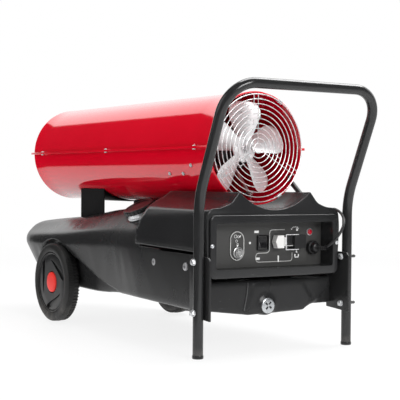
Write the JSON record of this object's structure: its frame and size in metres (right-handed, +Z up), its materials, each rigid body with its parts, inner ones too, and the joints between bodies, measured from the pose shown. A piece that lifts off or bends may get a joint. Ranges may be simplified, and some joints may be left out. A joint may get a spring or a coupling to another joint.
{
  "type": "forced air heater",
  "caption": "Mobile oil-fired forced air heater: a round heating drum over a wheeled moulded fuel tank, with a bent tube handle frame and a control panel.",
  "frame": {"origin": "on the floor, below the middle of the heater without its cord", "axes": "+Y along the air flow from the fan to the outlet, +X to the right of someone facing the control panel, +Z up"},
  "size_m": [0.6099, 1.2465, 0.6475],
  "materials": {
    "black_plastic": "moulded black plastic",
    "blade_aluminium": "mill finish",
    "brass": "plain brass and copper",
    "ceramic": null,
    "cord_sheath": "rubber sheathed mains cord",
    "drain_plastic": "black plastic",
    "drum_paint": "glossy red enamel on sheet steel",
    "frame_paint": "dark grey powder coat on bent steel tube",
    "hood_plastic": "moulded plastic, fine grain",
    "lamp_lens": "tinted lens",
    "plate_paint": "dark grey paint on sheet steel",
    "red_plastic": "moulded red cap",
    "seal_rubber": "flat seal",
    "strainer_mesh": "fine wire mesh",
    "tank_plastic": "moulded polyethylene, fine grain, semi-matt black",
    "tyre_rubber": "solid rubber",
    "wheel_plastic": "moulded wheel disc",
    "white_plastic": "moulded white plastic",
    "wire_chrome": "bright plated wire",
    "zinc": "zinc plated steel"
  },
  "bodies": {
    "heater": {"axle": "zinc", "axle_clips": "zinc", "axle_straps": "zinc", "bezel_screws": "zinc", "burner_head": "zinc", "cable_gland": "black_plastic", "chamber_supports": "zinc", "combustion_chamber": "zinc", "conduit": "black_plastic", "control_box": "black_plastic", "control_plate": "plate_paint", "cord_tie": "black_plastic", "drum_bracket": "plate_paint", "drum_lower": "drum_paint", "drum_screws": "zinc", "drum_upper": "drum_paint", "electrodes": "ceramic", "filler_neck": "zinc", "flame_baffle": "zinc", "foot_caps": "black_plastic", "fuel_lines": "brass", "fuel_pump": "blade_aluminium", "fuel_strainer": "strainer_mesh", "fuel_tank": "tank_plastic", "grille_clips": "zinc", "handle_frame": "frame_paint", "ignition_transformer": "black_plastic", "inlet_grille": "wire_chrome", "leg_bolts": "zinc", "mains_plug": "black_plastic", "motor": "plate_paint", "motor_bracket": "zinc", "nozzle": "brass", "panel_bezel": "hood_plastic", "panel_cover": "hood_plastic", "photocell": "black_plastic", "pilot_lamp": "lamp_lens", "power_cord": "cord_sheath", "power_cord_coil": "cord_sheath", "rear_support": "plate_paint", "reset_bush": "black_plastic", "rocker_frame": "black_plastic", "tank_seals": "seal_rubber", "tank_side_screws": "drain_plastic", "thermostat_socket": "black_plastic"},
    "wheel_left": {"wheel_left": "wheel_plastic", "tyre_left": "tyre_rubber", "hub_cap_left": "red_plastic"},
    "wheel_right": {"wheel_right": "wheel_plastic", "tyre_right": "tyre_rubber", "hub_cap_right": "red_plastic"},
    "rotor": {"fan": "blade_aluminium", "fan_nut": "zinc", "motor_shaft": "zinc"},
    "rocker": {"rocker": "black_plastic"},
    "reset_button": {"reset_button": "black_plastic"},
    "filler_cap": {"filler_cap": "black_plastic"},
    "drain_plug": {"drain_plug": "drain_plastic"},
    "socket_bail": {"socket_bail": "wire_chrome"},
    "thermostat_plug": {"thermostat_plug": "white_plastic"}
  },
  "joints": [
    {"name": "wheel_left_spin", "type": "hinge", "parent": "heater", "child": "wheel_left", "pos_m": [-0.203, 0.299, 0.114], "axis": [1, 0, 0], "continuous": true},
    {"name": "wheel_right_spin", "type": "hinge", "parent": "heater", "child": "wheel_right", "pos_m": [0.203, 0.299, 0.114], "axis": [1, 0, 0], "continuous": true},
    {"name": "fan_spin", "type": "hinge", "parent": "heater", "child": "rotor", "pos_m": [0, -0.357, 0.495], "axis": [0, 1, 0], "continuous": true},
    {"name": "rocker_tip", "type": "hinge", "parent": "heater", "child": "rocker", "pos_m": [-0.008, -0.448, 0.262], "axis": [1, 0, 0], "range_deg": [0, 16]},
    {"name": "reset_press", "type": "slide", "parent": "heater", "child": "reset_button", "axis": [0, 1, 0], "range_m": [0, 0.004], "stiffness_N_per_m": 250, "springref_m": -0.002},
    {"name": "cap_off", "type": "slide", "parent": "heater", "child": "filler_cap", "axis": [-0.454, 0, 0.891], "range_m": [0, 0.09]},
    {"name": "drain_plug_out", "type": "slide", "parent": "heater", "child": "drain_plug", "axis": [0, -1, 0], "range_m": [0, 0.05]},
    {"name": "bail_swing", "type": "hinge", "parent": "heater", "child": "socket_bail", "pos_m": [0.085, -0.474, 0.264], "axis": [0, 0, 1], "range_deg": [0, 120]},
    {"name": "thermostat_plug_out", "type": "slide", "parent": "heater", "child": "thermostat_plug", "axis": [-1, 0, 0], "range_m": [0, 0.008]}
  ]
}
